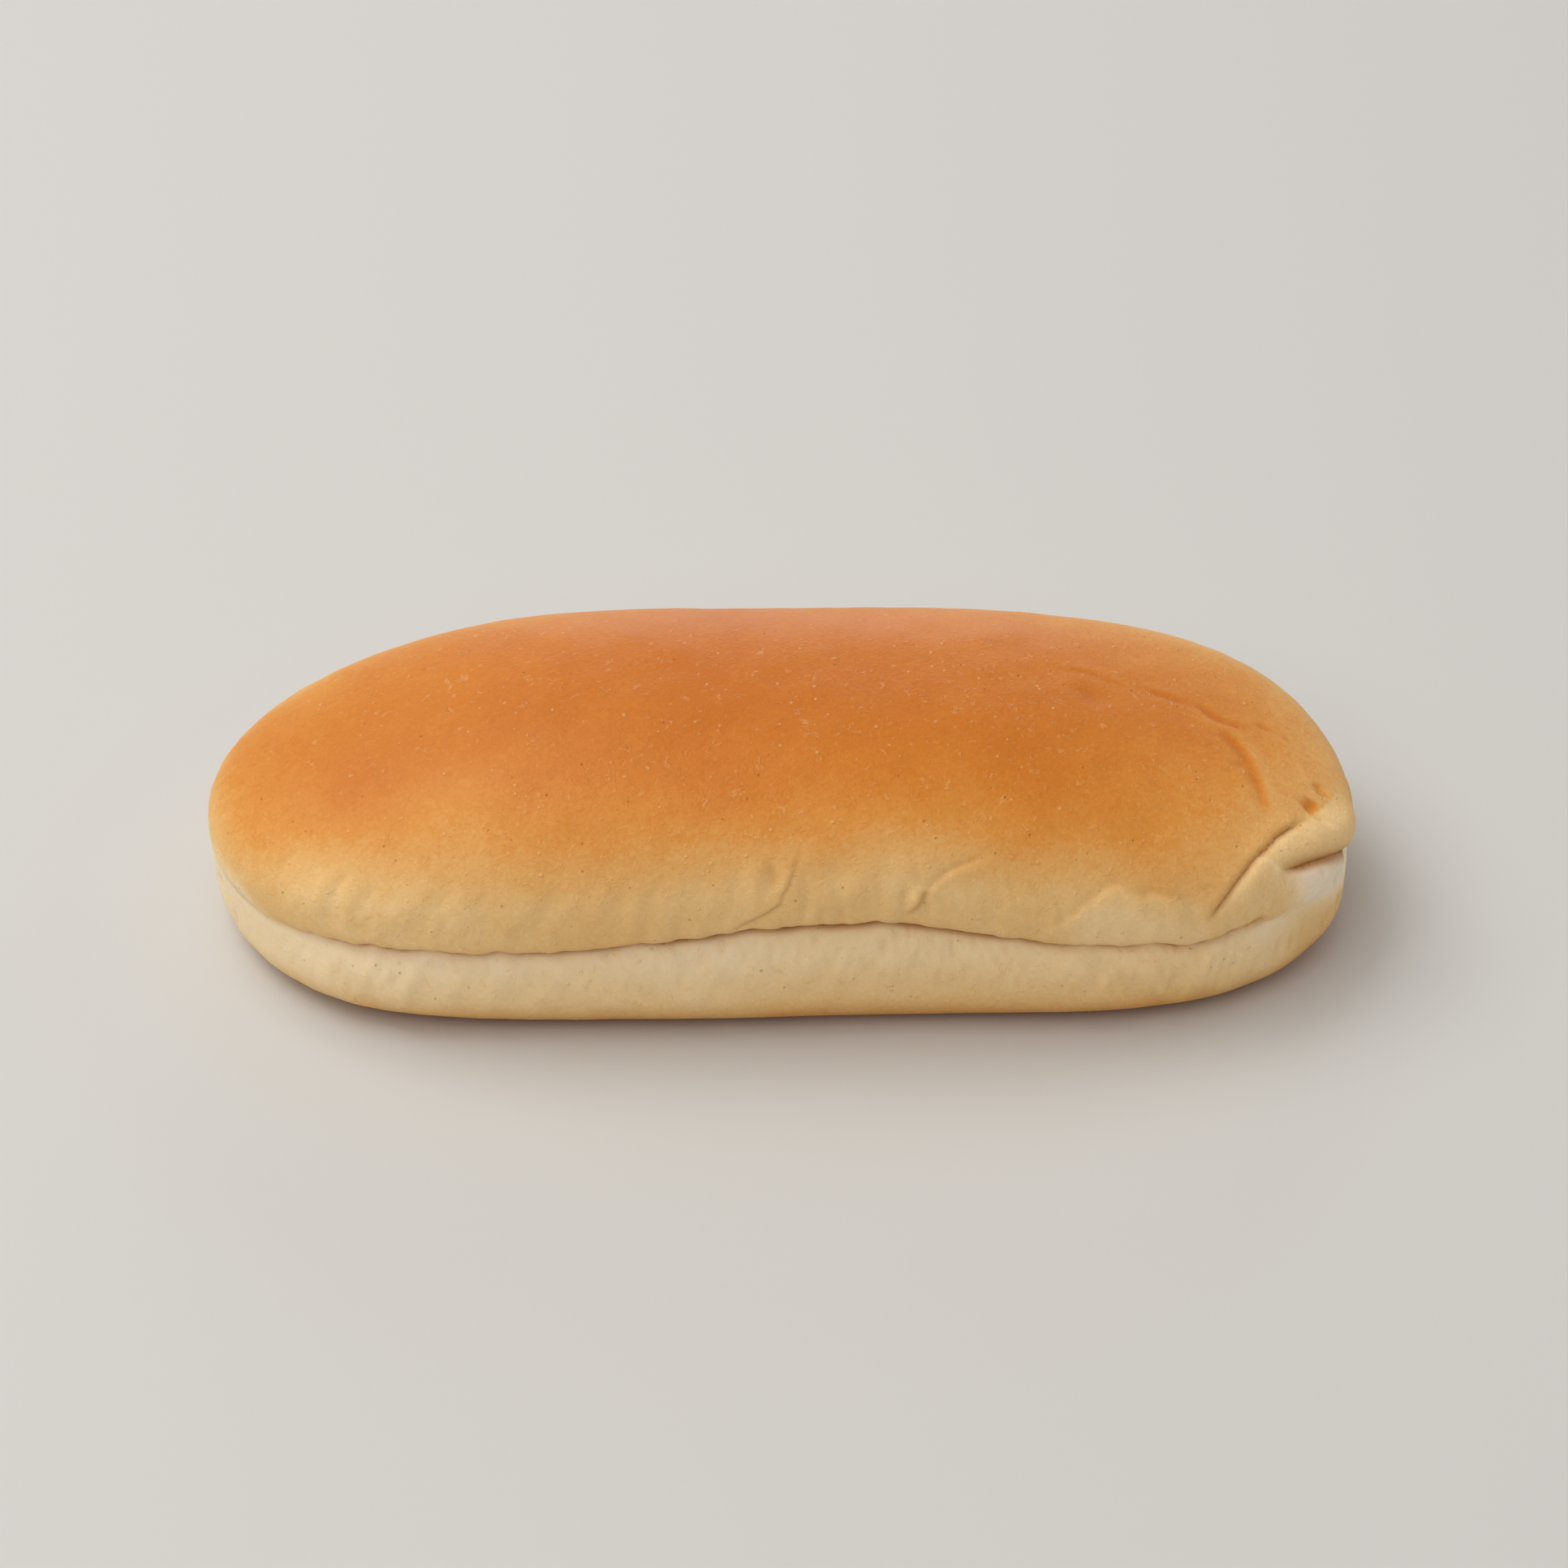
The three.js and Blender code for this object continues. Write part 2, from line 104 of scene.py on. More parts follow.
FOLDS = [
    # dome pulled over the tongue at the right end
    dict(path=END_FOLD, above=0.25, below=0.1, reach=2.2, cut=0.7, width=0.55, over=0.35, fade=(0.12, 0.25)),
    # back of the tongue, a ridge
    dict(path=[(58.5, 6.0), (62.5, 8.2), (67, 9.0), (71.5, 9.6), (76, 9.2), (79.5, 7.9), (84, 6.0),
               (91, 3.8)],
         above=0.6, below=0.6, reach=2.1, cut=0.0, width=1.0, over=0.0, fade=(0.25, 0.2)),
    # crease under the tongue, running round the right end
    dict(path=END_CREASE, above=0.2, below=0.75, reach=3.2, cut=1.35, width=1.0, over=0.7, fade=(0.16, 0.2)),
    # hook that ends the side fold
    dict(path=[(57.5, 2.2), (60.4, 3.2), (63.8, 3.3), (65.3, 2.0), (66.0, 0.4)],
         above=0.15, below=0.3, reach=1.8, cut=0.7, width=0.5, over=0.2, fade=(0.3, 0.35)),
    # flap on the right of the front
    dict(path=FLAP, above=-0.12, below=0.26, reach=3.4, cut=0.16, width=0.6, over=0.0, fade=(0.3, 0.25)),
    # pucker in the middle of the front, and the line that runs up from it
    dict(path=[(16.2, 5.8), (17.5, 7.6), (18.6, 9.6), (19.2, 10.6)],
         above=0.45, below=0.05, reach=1.2, cut=0.35, width=0.4, over=0.0, fade=(0.2, 0.2)),
    dict(path=[(18.6, 9.7), (20.8, 12.1), (25.1, 14.8), (32, 18)],
         above=-0.1, below=0.24, reach=1.6, cut=0.28, width=0.45, over=0.1, fade=(0.08, 0.6)),
    # wedge left of the pucker, and a short line over it
    dict(path=[(-8.5, 4.2), (-4.5, 5.9), (-1.7, 7.7), (-0.8, 8.6), (-0.5, 9.8), (0.4, 11.4), (2.9, 17.5)],
         above=0.22, below=0.0, reach=2.6, cut=0.3, width=0.4, over=0.2, fade=(0.2, 0.5)),
    dict(path=[(-2.3, 14.6), (-1.7, 12.3), (-1.7, 9.8)],
         above=0.1, below=-0.1, reach=1.5, cut=0.25, width=0.6, over=0.0, fade=(0.4, 0.4)),
    # valley where the lip runs up round the left end
    dict(path=[(-96.1, 0.0), (-88.1, 0.3), (-82.1, 1.1), (-77.1, 1.0), (-73.1, 0.2), (-69.1, -0.5)],
         above=0.2, below=0.0, reach=3.0, cut=0.16, width=1.2, over=0.0, fade=(0.4, 0.25)),
    # flap and puckers of the back
    dict(path=[(118, 4.5), (124, 8.5), (131, 10.0), (142, 8.0)],
         above=-0.1, below=0.5, reach=2.8, cut=0.5, width=0.8, over=0.2, fade=(0.3, 0.3)),
    dict(path=[(-189, 4.0), (-182, 9.0), (-168, 13.5)],
         above=0.0, below=0.5, reach=2.4, cut=0.5, width=0.8, over=0.2, fade=(0.2, 0.4)),
    dict(path=[(-150, 5.0), (-146, 9.0), (-145, 14.0)],
         above=0.1, below=0.4, reach=2.2, cut=0.4, width=0.8, over=0.1, fade=(0.2, 0.5)),
]
PATH_STEPS = 10
FOLD_MARGIN = 2.6  # reaches from a fold's path within which it is worked out
OVER_REACH = 0.6  # share of a fold's reach over which the skin slides

# Wrinkles of the crown over the folded end, as a path in plan, with the same kind of relief
WRINKLES = [
    dict(path=[(49.4, 3.5), (51.4, 3.7), (53.5, 3.2), (56.3, 3.0)],
         above=0.12, below=0.08, reach=1.8, cut=0.3, width=0.7, over=0.0, fade=(0.35, 0.25)),
    dict(path=[(56.8, 3.6), (58.1, 2.4), (59.4, 1.0), (61.2, 0.5), (63.9, 0.4)],
         above=0.14, below=0.22, reach=1.9, cut=0.42, width=0.75, over=0.0, fade=(0.2, 0.2)),
    dict(path=[(60.2, -1.4), (61.2, -3.0), (62.5, -5.0), (63.2, -7.2), (63.8, -9.2), (64.5, -11.4),
               (64.8, -13.4), (65.1, -15.3), (65.5, -18.8)],
         above=0.2, below=0.05, reach=2.2, cut=0.4, width=0.8, over=0.0, fade=(0.12, 0.5)),
    dict(path=[(60.4, -8.8), (61.6, -8.2), (63.0, -7.3)],
         above=0.08, below=0.08, reach=1.0, cut=0.25, width=0.6, over=0.0, fade=(0.4, 0.2)),
    dict(path=[(65.0, 2.4), (66.3, 2.1), (67.6, 1.6)],
         above=0.08, below=0.05, reach=1.1, cut=0.34, width=0.55, over=0.0, fade=(0.3, 0.25)),
    dict(path=[(68.7, 1.7), (69.9, 0.8)],
         above=0.06, below=0.06, reach=1.0, cut=0.3, width=0.5, over=0.0, fade=(0.3, 0.3)),
    dict(path=[(72.6, -6.6), (73.2, -7.8), (73.6, -9.3)],
         above=0.12, below=0.08, reach=1.2, cut=0.4, width=0.7, over=0.0, fade=(0.25, 0.25)),
    dict(path=[(70.6, -12.9), (71.6, -11.8), (72.2, -10.4)],
         above=0.1, below=0.05, reach=1.1, cut=0.6, width=1.0, over=0.0, fade=(0.3, 0.2)),
    dict(path=[(40.3, 2.8), (42.2, 0.2), (44.5, -1.9)],
         above=0.0, below=0.0, reach=2.4, cut=0.22, width=1.7, over=0.0, fade=(0.4, 0.4)),
    dict(path=[(37.8, 5.0), (40.6, 5.4), (43.3, 5.1), (46.1, 3.6), (47.8, 1.8)],
         above=0.1, below=0.0, reach=1.6, cut=0.14, width=0.7, over=0.0, fade=(0.3, 0.3)),
]
WRINKLES_ABOVE = FOLD_HEIGHT + 2 * BELLY_RISE  # height over which the crown's wrinkles are read

# Small hollows and bumps: run, skin length, reach along and up, height
DENTS = [
    # notches along the fold over the tongue
    (70.2, 10.0, 0.5, 1.1, -0.22),
    (72.4, 10.3, 0.5, 1.3, -0.25),
    (74.8, 10.2, 0.6, 1.2, -0.22),
    (77.5, 9.6, 0.6, 1.4, -0.25),
    # nicks in the cheek under the crease
    (82.4, -1.4, 0.5, 1.0, -0.25),
    (84.4, -1.0, 0.5, 1.2, -0.3),
    (86.2, -1.4, 0.45, 1.5, -0.3),
    (88.0, -1.7, 0.5, 1.6, -0.3),
    # hollows and a bump between the wedge and the pucker
    (4.8, 5.0, 0.6, 1.8, -0.4),
    (7.5, 5.9, 0.7, 1.6, -0.38),
    (6.1, 12.0, 1.6, 2.2, -0.22),
    (8.8, 9.6, 1.8, 2.2, 0.25),
    # nub of the pucker, with a hollow on either side
    (17.3, 8.6, 0.7, 1.3, 0.5),
    (18.9, 7.6, 0.5, 1.2, -0.35),
    (15.9, 9.0, 0.5, 1.0, -0.3),
    # hollows and a bump on the left of the front
    (-46, 8.3, 1.0, 2.4, -0.25),
    (-36.5, 6.8, 0.9, 1.8, -0.3),
    (-33, 8.3, 0.9, 2.6, -0.2),
    (-52, 9.8, 2.0, 2.4, 0.2),
    # full cheek of the right end, and the notch that the crease leaves in its outline
    (75, 1.5, 3.4, 3.0, 0.5),
    (79, -5.0, 7.0, 4.0, 0.6),
    (94, -0.3, 5.0, 2.0, -0.6),
    # rims on the tongue, a wrinkle of the cheek and the bump at the head of the crease
    (80.7, 9.4, 0.35, 1.1, 0.3),
    (81.8, 8.8, 0.5, 1.4, -0.3),
    (82.9, 8.6, 0.35, 1.2, 0.3),
    (75.6, 4.0, 0.3, 0.9, -0.3),
    (69.2, 7.6, 0.6, 0.8, 0.35),
    # full lip at the left end
    (-57, -8.0, 12.0, 6.0, 0.8),
    (-100, -3.0, 8.0, 7.0, 1.0),
]
DENT_MARGIN = 3  # reaches from a dent's middle within which it is worked out

# Slow swells of the whole skin: height, wave lengths in x, y and z, phases
SWELLS = [
    (0.25, 82, 69, 57, 1.0, 0.0),
    (0.20, 48, 400, 44, 2.2, 1.0),
]
SOLE_EASE = 4.0  # height over which relief fades out towards the sole

# Ripples: height, wave length round the roll and up the skin, skin length where they begin and end, seed
RIPPLES = [
    (0.08, 6.0, 18.0, 2.0, 16.0, 3),
    (0.03, 2.8, 9.0, 2.0, 13.0, 5),
    (0.16, 8.0, 10.0, -13.0, -0.5, 7),
    (0.07, 2.6, 5.0, -11.0, -0.5, 9),
]
RIPPLE_WAVES = 14
RIPPLE_TURNS = (0.6, 1.5)  # spread of the waves round the roll
RIPPLE_CLIMBS = (0.3, 1.4)  # spread of the waves up the skin
RIPPLE_EASES = (2.0, 5.0)  # skin length over which they come in and go out
RIPPLE_LOSS = 0.85  # share lost at the two ends of the roll
ENDS_FROM, ENDS_TO = 58.0, 70.0

# Short grooves scattered over bands of skin: count, skin length from and to, least and most width and
# height of a groove, most depth, seed
GROOVES = [
    (100, -7.0, -1.8, (0.3, 0.7), (0.6, 1.8), 0.6, 21),
    (110, 3.0, 13.0, (0.35, 0.8), (0.8, 3.0), 0.2, 23),
]
GROOVE_LEAST = 0.3  # share of the most depth

# Gentle unevenness of the crown: height, wave length, number of waves, seed
CROWN_WAVES = (0.035, 9.0, 24, 11)
CROWN_SPREAD = (0.6, 1.6)  # spread of the waves

# Mesh density: columns from a run on at a step, in millimetres, then rows
COLUMN_STEPS = [(-12.0, 0.36), (54.0, 0.28)]
LEFT_STEP = 0.55
BACK_STEP = 1.1
LIP_ROWS = 14
SHOULDER_ROWS = 22
UNDER_ROWS = 14
CROWN_ROWS = 90
FOLD_ROW = LIP_ROWS + SHOULDER_ROWS - 1
OUTLINE_STEPS = 20000
TINY = 1e-9  # keeps a length of nothing from dividing

# Baking, from nothing on pale dough to one on deep brown. The crust starts to brown at a height over the
# side fold, which is lower along some spans: start, full, ease, end, drop.
BROWN_RISE = 7.5
BROWN_DROPS = [
    (-140.0, -100.0, -78.0, -62.0, 6.5),
    (62.0, 92.0, 100.0, 140.0, 9.0),
]
BROWN_DIP = (60.0, 14.0, 12.0)  # run, reach before and after
BROWN_DIP_DROP = 5.0
CRUST_LEAST = 0.28
CRUST_START = 0.30
CRUST_GAIN = 0.68
CRUST_CURVE = 1.2

# Deeper brown on the crown: gain, x from and to, height from and to, reaching lower at the left tip
CROWN_TINTS = [
    (0.07, (10.0, 60.0), (24.0, 32.0)),
    (0.22, (-40.0, -70.0), (23.0, 31.0)),
]
LEFT_TIP = (-62.0, -76.0)
LEFT_TIP_SINK = 6.5

# Browning of the lip lower down, partly real baking towards the sole and partly painted shade that makes the
# lip look round: gain, loss at the left end, height from and to
LIP_BAKE_AND_SHADE = [
    (0.12, 0.10, (15.0, 7.0)),
    (0.32, 0.16, (8.0, 0.5)),
    (0.25, 0.0, (1.6, 0.0)),
]
LIP_PALEST = 0.07
LIP_LEFT = (-52.0, -74.0)
LIP_MIDDLE = (-25.0, 5.0, 48.0, 66.0)
LIP_MIDDLE_GAIN = 0.06

# Lower edge of the dome's colour, which rises and goes soft at the left end
EDGE_BELOW = 0.2
EDGE_ABOVE = 1.2
LEFT_EDGE = (-79.0, 14.0, 4.5)  # run, reach before and after
LEFT_EDGE_RISE = 1.4
LEFT_EDGE_SOFT = 3.0
LEFT_EDGE_SPAN = (-62.0, -82.0)

# Paler colour of the right end: pale dough of the tongue under its fold and of the cheek under the crease,
# and a paler lobe under the flap
RIGHT_END = (30.0, 104.0)
RIGHT_END_TOP = 20.0
TONGUE_SPAN = (56.0, 59.0, 82.0, 96.0)
TONGUE_BAKE = 0.27
TONGUE_SOFT = 0.4
TONGUE_TAIL_SOFT = 1.6
TONGUE_TAIL = (0.75, 1.0)  # share along the fold
LOBE_SPAN = (34.0, 41.0, 55.0, 58.0)
LOBE_EDGE = (1.0, -1.4)
LOBE_TOP = (14.5, 12.5)
LOBE_PALER = 0.09
CHEEK_SPAN = (66.0, 75.0, 86.0, 103.0)
CHEEK_EDGE = (0.2, -0.8)
CHEEK_PALE_BAND = (-7.5, -4.5)
CHEEK_PALER = 0.14
CHEEK_BROWN_BAND = (-5.0, -9.0)
CHEEK_BROWNER = 0.12

# Painted shade in the folds and along their creases, by how far a place is tucked in, and the painted shade
# in the hollows and painted sheen on the ridges of the crown's wrinkles
FOLD_SHADE_FROM, FOLD_SHADE_TO = 0.34, 0.58
WRINKLE_SHADE_AND_SHEEN = 0.5
RIDGE_SHEEN = 1.5

# Colours as a screen shows them: baked dough from palest to deepest, and the tints over it, which paint
# highlights on blisters and fibres and shade in pin holes and folds
BAKE_TONES = [
    (0.00, (249, 231, 202)),
    (0.14, (248, 218, 169)),
    (0.30, (237, 195, 131)),
    (0.45, (228, 172, 100)),
    (0.62, (219, 145, 62)),
    (0.80, (209, 125, 42)),
    (1.00, (198, 110, 30)),
]
# Painted highlights on blisters and fibres and painted shade in pin holes: mask, share, tone
CRUST_GLINTS_AND_PIT_SHADE = [
    ("Blisters", 0.36, (250, 206, 146)),
    ("Fibres", 0.2, (252, 205, 140)),
    ("Holes", 0.30, (165, 98, 42)),
]
# Painted shade deep in the folds and along their creases: how much of it, and its warm dark tone
FOLD_SHADE_SHARE = 0.85
FOLD_SHADE_TONE = (178, 112, 38)
CRUST_BLOTCH = 0.28
SOLE_BAKE = 0.78
SOLE_BLOTCH = 0.6
SOLE_SCORCH = 0.35
SCORCH_TONE = (156, 104, 58)
# Painted shade in the sole's pin holes: mask, share, tone
SOLE_PIT_SHADE = [("Holes", 0.7, (120, 72, 32))]

# Mottling of the baked colour: scale for each metre, detail, distortion, share
MOTTLES = [
    (55.0, 3.0, 0.0, 1.0),
    (260.0, 2.0, 0.8, 0.35),
    (700.0, 3.0, 1.2, 0.8),
    (1900.0, 2.0, 0.6, 0.6),
]
MOTTLE_BAKE = (0.0, 0.8)  # pale dough is mottled less
MOTTLE_SHARES = (0.35, 1.0)

# Spots in the skin: scale for each metre, radius as a share of a cell, share of the cells without one
BLISTER_SPOTS = (620.0, 0.24, 0.4)
HOLE_SPOTS = (640.0, 0.17, 0.55)
SPOT_EDGE = 0.8  # share of the radius over which a spot fades in

# Short fibres, which lie where a noise crosses its middle, in patches, and the grain of the skin
FIBRE_SCALE = 520.0
FIBRE_TWIST = 1.2
FIBRE_WIDTH = 0.06
PATCH_SCALE = 700.0
PATCH_RANGE = (0.56, 0.7)
GRAIN_SCALE = 1250.0
GRAIN_RISE = 0.4
BLISTER_RISE = 0.5
FIBRE_RISE = 0.22
HOLE_RISE = -0.7
BUMP_METRES = 0.0003
CRUST_BUMP = 0.8
SOLE_BUMP = 0.7

# Finish: roughness over a range of browning, light in the crumb, gloss
GLOSS_BAKE = (0.25, 0.9)
CRUST_ROUGHNESS = (0.62, 0.44)
SOLE_ROUGHNESS = 0.7
CRUST_FINISH = {
    "Subsurface Weight": 0.12,
    "Subsurface Radius": (1.0, 0.45, 0.2),
    "Subsurface Scale": 0.0015,
    "Specular IOR Level": 0.19,
}

# Studio in metres: floor, then softboxes as name, place, aim, size, energy and colour
FLOOR_HALF = 3.0
FLOOR_COLOUR = (0.62, 0.60, 0.57, 1.0)
FLOOR_ROUGHNESS = 0.7
WHITE = (1.0, 1.0, 1.0)
COOL = (0.78, 0.87, 1.0)
SOFTBOXES = [
    ("key_softbox", (-0.65, 0.3, 1.1), (0, 0, 0.02), 1.0, 9.9, WHITE),
    ("rear_softbox", (0.1, 1.5, 0.22), (0, 0, 0.03), 0.8, 4.1, COOL),
    ("side_softbox", (1.2, 0.9, 0.45), (0, 0, 0.03), 0.6, 1.5, WHITE),
    ("fill_softbox", (1.2, -0.15, 0.3), (0.05, 0, 0.02), 0.7, 0.6, WHITE),
    ("front_softbox", (-0.5, -0.7, 1.1), (0, 0, 0.02), 1.0, 5.2, WHITE),
]
STUDIO_COLOUR = (1.0, 0.98, 0.95, 1.0)
STUDIO_STRENGTH = 0.40

# Camera of the photograph, with lengths in its pixels and angles in degrees
FRAME_PX = 1932
FOCAL_PX = 7000.0
PX_PER_MM = 8.826
CAMERA_AZIMUTH = -1.5
CAMERA_ELEVATION = 37.5
BASE_PX = (960.0, 1105.0)
SENSOR_MM = 36.0
CLIP_START = 0.05


# An eased step from nothing at one end to one at the other
def smooth(low, high, value):
    t = np.clip((value - low) / (high - low), 0.0, 1.0)
    return t * t * (3.0 - 2.0 * t)


# One inside a span and nothing outside it, eased at both ends
def within(value, span):
    start, full, ease, end = span
    return smooth(start, full, value) * (1.0 - smooth(ease, end, value))


def bell(distance, reach):
    return np.exp(-((distance / reach) ** 2))


# A bell with one reach before its middle and another after it
def uneven_bell(value, centre, before, after):
    return bell(value - centre, np.where(value < centre, before, after))


def unit(vectors):
    return vectors / (np.linalg.norm(vectors, axis=-1, keepdims=True) + TINY)


# Plan of the roll at the belly, with outward normals, for turns counted from the middle of the front
def plan_points(turn):
    s = np.sin(turn)
    blunt = np.where(s > 0, RIGHT_BLUNT, LEFT_BLUNT)
    skew = np.where(s > 0, RIGHT_SKEW, 0.0)
    x = LENGTH / 2 * s
    y = -WIDTH / 2 * np.sign(np.cos(turn)) * np.sqrt(np.maximum(0.0, 1.0 - np.abs(s) ** blunt))
    slope_y = 2.0 * y / (WIDTH / 2) ** 2
    lean = skew * SKEW_POWER * np.abs(s) ** (SKEW_POWER - 1.0)
    slope_x = np.sign(s) / (LENGTH / 2) * (blunt * np.abs(s) ** (blunt - 1.0) - slope_y * lean)
    y = y + skew * np.abs(s) ** SKEW_POWER
    size = np.hypot(slope_x, slope_y)
    return x, y, slope_x / size, slope_y / size


# Run round the plan from the middle of the front, against turn
def table_run():
    turn = np.linspace(-np.pi, np.pi, OUTLINE_STEPS + 1)
    x, y, _, _ = plan_points(turn)
    run = np.concatenate([[0.0], np.cumsum(np.hypot(np.diff(x), np.diff(y)))])
    return turn, run - run[OUTLINE_STEPS // 2]


def even_runs(start, end, step):
    return np.linspace(start, end, int(round((end - start) / step)), endpoint=False)


# Columns from the left end along the front to the right end, then round the back
def column_runs(table):
    left, right = table[OUTLINE_STEPS // 4], table[3 * OUTLINE_STEPS // 4]
    around = table[-1] - table[0]
    stops = [(left, LEFT_STEP)] + COLUMN_STEPS + [(right, BACK_STEP)]
    front = np.concatenate([even_runs(a[0], b[0], a[1]) for a, b in zip(stops, stops[1:])])
    back = even_runs(right, left + around, BACK_STEP)
    return np.concatenate([front, np.where(back > table[-1], back - around, back)]), len(front)


def fold_level(run):
    level = np.full_like(run, FOLD_HEIGHT)
    for centre, before, after, height in FOLD_RISES:
        level += height * uneven_bell(run, centre, before, after)
    return level


def fold_depth(run):
    depth = np.full_like(run, FOLD_DEPTH)
    for *span, share in SHALLOWS:
        depth *= 1.0 - share * within(run, span)
    return depth


# Rings of skin points from the sole's edge to the crown, with each point's hold on relief
def skin_rings(turns, run):
    x, y, nx, ny = plan_points(turns)
    depth = fold_depth(run)
    level = fold_level(run)
    scallop = sum(height * bell(run - centre, reach) for centre, reach, height in SCALLOPS)
    fold = level + scallop * depth / FOLD_DEPTH
    belly = level + BELLY_RISE
    dome_blunt = np.where(x > 0, DOME_RIGHT_BLUNT, DOME_LEFT_BLUNT)
    rings, holds = [], []

    def wall(inset, z, hold):
        rings.append(np.stack([x - nx * inset, y - ny * inset, z + 0.0 * x], axis=-1))
        holds.append(hold + 0.0 * x)

    def full(share):
        return math.copysign(abs(share) ** (2.0 / FOLD_FULL), share)

    def tuck(bend):
        return 1.0 - (1.0 - full(math.cos(bend))) * depth / FOLD_DEPTH

    for bend in np.linspace(-np.pi / 2, 0.0, LIP_ROWS, endpoint=False):
        wall(LIP_INSET + SOLE_INSET * (1.0 - math.cos(bend)), LIP_HEIGHT * (1.0 + math.sin(bend)), 1.0)
    for bend in np.linspace(0.0, np.pi / 2, SHOULDER_ROWS):
        rise = LIP_HEIGHT + (fold - LIP_HEIGHT) * full(math.sin(bend))
        wall(LIP_INSET + depth * (1.0 - full(math.cos(bend))), rise, tuck(bend))
    for bend in np.linspace(-np.pi / 2, 0.0, UNDER_ROWS + 1)[1:]:
        rise = belly + (belly - fold) * full(math.sin(bend))
        wall((depth + LIP_INSET) * (1.0 - full(math.cos(bend))), rise, tuck(bend))
    for climb in np.linspace(0.0, CROWN_LIMIT, CROWN_ROWS + 1)[1:]:
        share = math.cos(np.pi / 2 * climb ** CROWN_BIAS)
        cx = x * share ** (2.0 / dome_blunt)
        top = HEIGHT * (1.0 - CROWN_DROOP * ((cx - CROWN_PEAK_X) / (LENGTH / 2)) ** 2)
        rise = (1.0 - share ** CROWN_ROUND) ** (1.0 / CROWN_ROUND)
        rings.append(np.stack([cx, y * share, belly + (top - belly) * rise], axis=-1))
        holds.append(np.ones_like(x))
    return np.array(rings), np.array(holds)


# Skin length of every point up its column from the side fold
def skin_lengths(rings):
    steps = np.linalg.norm(np.diff(rings, axis=0), axis=-1)
    length = np.concatenate([np.zeros((1, rings.shape[1])), np.cumsum(steps, axis=0)])
    return length - length[FOLD_ROW]


# Smooth line through a fold's few points
def smooth_path(points):
    p = np.array(points, dtype=float)
    p = np.vstack([2 * p[0] - p[1], p, 2 * p[-1] - p[-2]])
    line = []
    for a, b, c, d in zip(p, p[1:], p[2:], p[3:]):
        for t in np.linspace(0.0, 1.0, PATH_STEPS, endpoint=False):
            bend = (2 * a - 5 * b + 4 * c - d) * t * t + (3 * b - a - 3 * c + d) * t ** 3
            line.append(0.5 * (2 * b + (c - a) * t + bend))
    return np.array(line + [p[-2]])


# Signed distance to a line (positive on its left), share along it, and the way out from it
def from_path(places, line):
    start, step = line[:-1], np.diff(line, axis=0)
    size = np.hypot(step[:, 0], step[:, 1])
    off = places[:, None, :] - start[None]
    reach = np.clip((off * step).sum(-1) / size ** 2, 0.0, 1.0)
    away = off - reach[..., None] * step
    far = np.hypot(away[..., 0], away[..., 1])
    k = far.argmin(axis=1)
    i = np.arange(len(places))
    side = np.sign(step[k, 0] * away[i, k, 1] - step[k, 1] * away[i, k, 0])
    length = np.concatenate([[0.0], np.cumsum(size)])
    along = (length[k] + reach[i, k] * size[k]) / length[-1]
    return side * far[i, k], along, unit(away[i, k])


# Lift along the normal, slide across the skin and depth of crease from a list of folds
def fold_relief(places, folds):
    lift = np.zeros(len(places))
    crease = np.zeros(len(places))
    slide = np.zeros((len(places), 2))
    for fold in folds:
        line = smooth_path(fold["path"])
        margin = FOLD_MARGIN * fold["reach"]
        near = np.all((places > line.min(0) - margin) & (places < line.max(0) + margin), axis=1)
        side, along, way = from_path(places[near], line)
        fade = smooth(0.0, fold["fade"][0], along) * smooth(0.0, fold["fade"][1], 1.0 - along)
        upper = smooth(-fold["width"], fold["width"], side)
        swollen = bell(side, fold["reach"]) * (fold["above"] * upper + fold["below"] * (1.0 - upper))
        cut = fade * fold["cut"] * bell(side, fold["width"])
        over = fade * fold["over"] * upper * bell(side, OVER_REACH * fold["reach"])
        lift[near] += fade * swollen - cut
        crease[near] = np.maximum(crease[near], cut)
        slide[near] -= way * over[:, None]
    return lift, slide, crease


# Short upright grooves scattered by chance, in the same form as the dents
def scattered_grooves(first, last):
    grooves = []
    for count, low, high, widths, heights, depth, seed in GROOVES:
        chance = np.random.default_rng(seed)
        for _ in range(count):
            run = chance.uniform(first, last)
            length = chance.uniform(low, high)
            wide = chance.uniform(*widths)
            tall = chance.uniform(*heights)
            grooves.append((run, length, wide, tall, -chance.uniform(GROOVE_LEAST, 1.0) * depth))
    return grooves


def dent_relief(places):
    run, length = places[:, 0], places[:, 1]
    lift = np.zeros(len(places))
    for at_run, at_length, wide, tall, height in DENTS + scattered_grooves(run.min(), run.max()):
        beside = np.abs(run - at_run) < DENT_MARGIN * wide
        level = np.abs(length - at_length) < DENT_MARGIN * tall
        near = np.nonzero(beside & level)[0]
        off = ((run[near] - at_run) / wide) ** 2 + ((length[near] - at_length) / tall) ** 2
        lift[near] += height * np.exp(-off)
    return lift


# Fine uneven ripples that meet themselves round the roll
def ripple_relief(places, around, ends):
    run, length = places[:, 0], places[:, 1]
    lift = np.zeros(len(places))
    for height, wide, tall, start, end, seed in RIPPLES:
        chance = np.random.default_rng(seed)
        band = smooth(start, start + RIPPLE_EASES[0], length) * smooth(end, end - RIPPLE_EASES[1], length)
        wave = np.zeros(len(places))
        for _ in range(RIPPLE_WAVES):
            turns = round(around / wide * chance.uniform(*RIPPLE_TURNS)) * chance.choice([-1, 1])
            climb = chance.uniform(*RIPPLE_CLIMBS) / tall
            phase = chance.random()
            wave += np.sin(2 * np.pi * (turns * run / around + climb * length + phase))
        lift += height * band * (1.0 - RIPPLE_LOSS * ends) * wave / math.sqrt(RIPPLE_WAVES / 2)
    return lift


